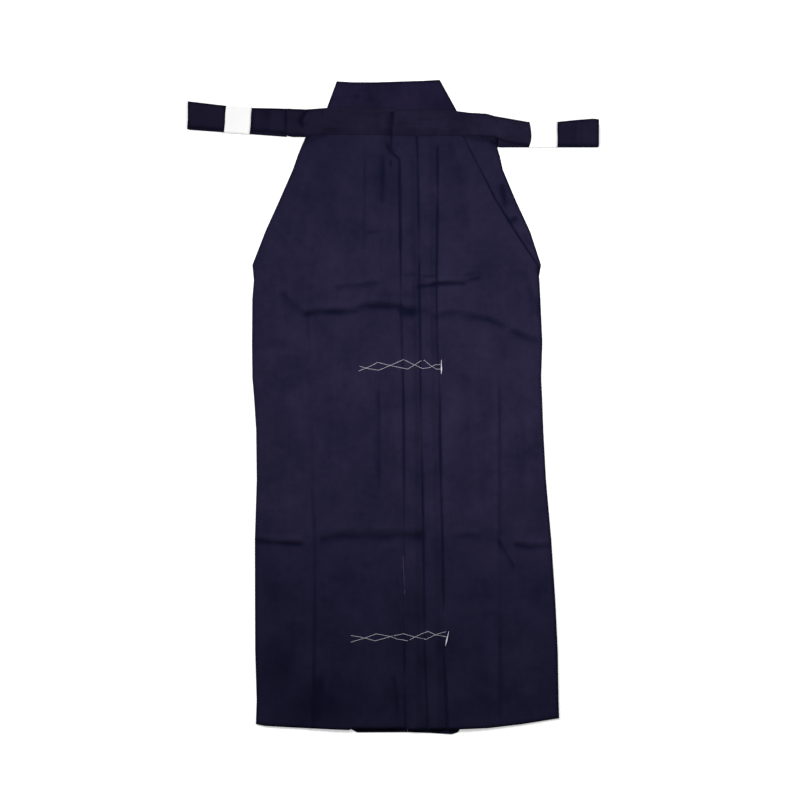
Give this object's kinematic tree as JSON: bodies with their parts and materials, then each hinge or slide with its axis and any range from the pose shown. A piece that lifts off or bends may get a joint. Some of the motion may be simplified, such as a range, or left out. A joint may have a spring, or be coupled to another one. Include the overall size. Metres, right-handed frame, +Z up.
{
  "type": "hakama trousers",
  "caption": "Divided pleated hakama trousers laid flat, front up, with a stiff back board, a front band and straps folded into a bundle at each side.",
  "frame": {"origin": "on the surface that the garment lies on, under the middle of its outline seen from above", "axes": "+Y from the hem to the waist, +X to the viewer's right with the front up, +Z up from the surface"},
  "size_m": [0.6566, 1.0454, 0.0159],
  "materials": {
    "front_cloth": "navy twill with a slight sheen",
    "back_cloth": "navy twill with a slight sheen",
    "board_cloth": "navy twill over a stiff board",
    "strap_cloth": "navy twill, folded double",
    "paper": "plain white paper",
    "thread": "white cotton basting thread"
  },
  "bodies": {
    "root": {"back_body_right": "back_cloth", "back_body_left": "back_cloth", "front_body_right": "front_cloth", "front_body_left": "front_cloth", "koshiita": "board_cloth", "back_strap": "strap_cloth", "front_band": "strap_cloth", "strap_bundle_right": "strap_cloth", "strap_bundle_left": "strap_cloth", "paper_band_right": "paper", "paper_band_left": "paper"}
  },
  "joints": []
}
